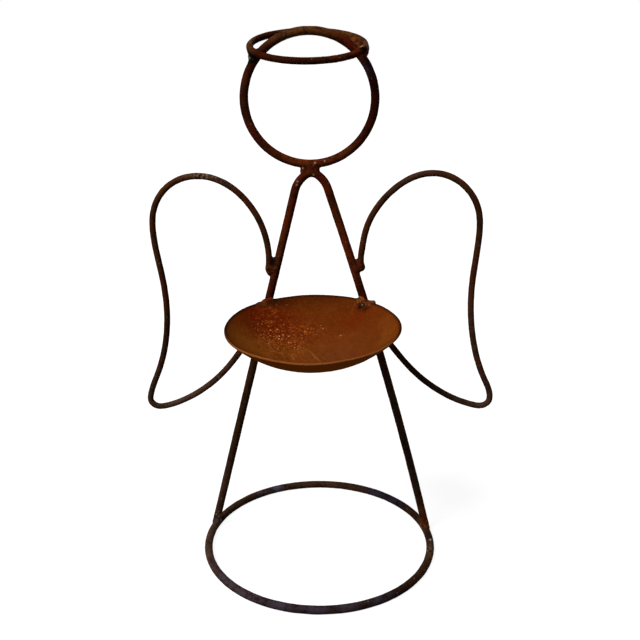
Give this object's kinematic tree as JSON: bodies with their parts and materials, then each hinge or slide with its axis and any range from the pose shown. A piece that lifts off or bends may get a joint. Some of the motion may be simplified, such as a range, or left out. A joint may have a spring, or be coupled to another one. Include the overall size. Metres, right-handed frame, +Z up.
{
  "type": "winged candle holder",
  "caption": "Free-standing candle holder bent from round steel rod as a winged figure with a halo, on a ring base, with a shallow rusted dish for a pillar candle.",
  "frame": {"origin": "on the floor, at the middle of the box round the whole object", "axes": "+Z up, -Y to the front, where the dish stands out, and the wings lie along X"},
  "size_m": [0.2294, 0.158, 0.3349],
  "materials": {
    "rusted_rod": "dark brown rust patina, satin, pitted",
    "rusted_thin_rod": "dark brown rust patina, satin, pitted",
    "rusted_sheet": "orange-brown rust, mottled, satin",
    "weld_metal": "lumpy weld bead, dark with bright spots"
  },
  "bodies": {
    "root": {"base_ring": "rusted_rod", "body_rod": "rusted_rod", "head_ring": "rusted_rod", "halo_ring": "rusted_thin_rod", "wing_left": "rusted_thin_rod", "wing_right": "rusted_thin_rod", "dish": "rusted_sheet", "neck_weld": "weld_metal", "halo_weld_left": "weld_metal", "halo_weld_right": "weld_metal", "wing_top_weld_left": "weld_metal", "wing_top_weld_right": "weld_metal", "wing_foot_weld_left": "weld_metal", "wing_foot_weld_right": "weld_metal", "foot_weld_left": "weld_metal", "foot_weld_right": "weld_metal", "dish_weld_left": "weld_metal", "dish_weld_right": "weld_metal"}
  },
  "joints": []
}
